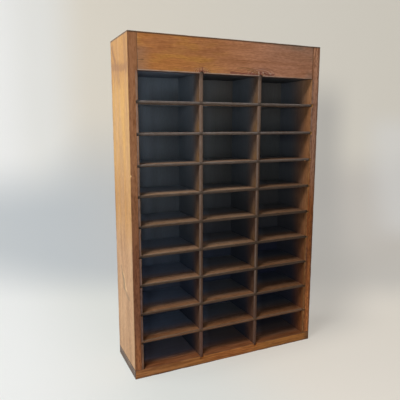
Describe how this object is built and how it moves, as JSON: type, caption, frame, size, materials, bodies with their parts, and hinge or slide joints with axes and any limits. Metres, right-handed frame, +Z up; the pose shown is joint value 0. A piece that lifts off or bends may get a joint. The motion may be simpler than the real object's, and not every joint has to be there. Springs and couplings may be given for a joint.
{
  "type": "pigeonhole mail sorter",
  "caption": "Upright open-fronted wooden case of wide, low letter holes in columns and rows, with thin shelves crossing thin dividers under a deep top rail, for sorting mail.",
  "frame": {"origin": "on the surface it stands on, under the middle of the bottom board", "axes": "+Z up, +Y from the open front to the back, +X to the right as seen from the front"},
  "size_m": [0.503, 0.145, 0.79],
  "materials": {
    "side_wood": "honey-brown softwood under thin old varnish, worn at the edges",
    "rail_wood": "golden-brown softwood under thin old varnish, level grain",
    "base_wood": "orange-brown softwood under thin old varnish",
    "grid_wood": "brown stained thin boards, greyed at the front edges",
    "top_wood": "brown softwood, plain and dusty",
    "back_wood": "brown stained softwood, dull",
    "nail_steel": "dull dark steel"
  },
  "bodies": {
    "root": {"left_side": "side_wood", "right_side": "side_wood", "bottom_board": "base_wood", "top_rail": "rail_wood", "ceiling_board": "grid_wood", "top_board": "top_wood", "back_board_1": "back_wood", "back_board_2": "back_wood", "back_board_3": "back_wood", "divider_1": "grid_wood", "divider_2": "grid_wood", "shelf_1": "grid_wood", "shelf_2": "grid_wood", "shelf_3": "grid_wood", "shelf_4": "grid_wood", "shelf_5": "grid_wood", "shelf_6": "grid_wood", "shelf_7": "grid_wood", "shelf_8": "grid_wood", "shelf_9": "grid_wood", "base_nail_1": "nail_steel", "base_nail_2": "nail_steel", "base_nail_3": "nail_steel", "base_nail_4": "nail_steel", "base_nail_5": "nail_steel", "base_nail_6": "nail_steel", "rail_nail_1": "nail_steel", "rail_nail_2": "nail_steel", "rail_nail_3": "nail_steel", "rail_nail_4": "nail_steel", "top_nail_1": "nail_steel", "top_nail_2": "nail_steel", "top_nail_3": "nail_steel", "top_nail_4": "nail_steel", "back_nail_1": "nail_steel", "back_nail_2": "nail_steel", "back_nail_3": "nail_steel", "back_nail_4": "nail_steel", "back_nail_5": "nail_steel", "back_nail_6": "nail_steel", "back_nail_7": "nail_steel", "back_nail_8": "nail_steel", "back_nail_9": "nail_steel", "back_nail_10": "nail_steel", "back_nail_11": "nail_steel", "back_nail_12": "nail_steel", "back_nail_13": "nail_steel", "back_nail_14": "nail_steel", "back_nail_15": "nail_steel", "back_nail_16": "nail_steel", "back_nail_17": "nail_steel", "back_nail_18": "nail_steel"}
  },
  "joints": []
}
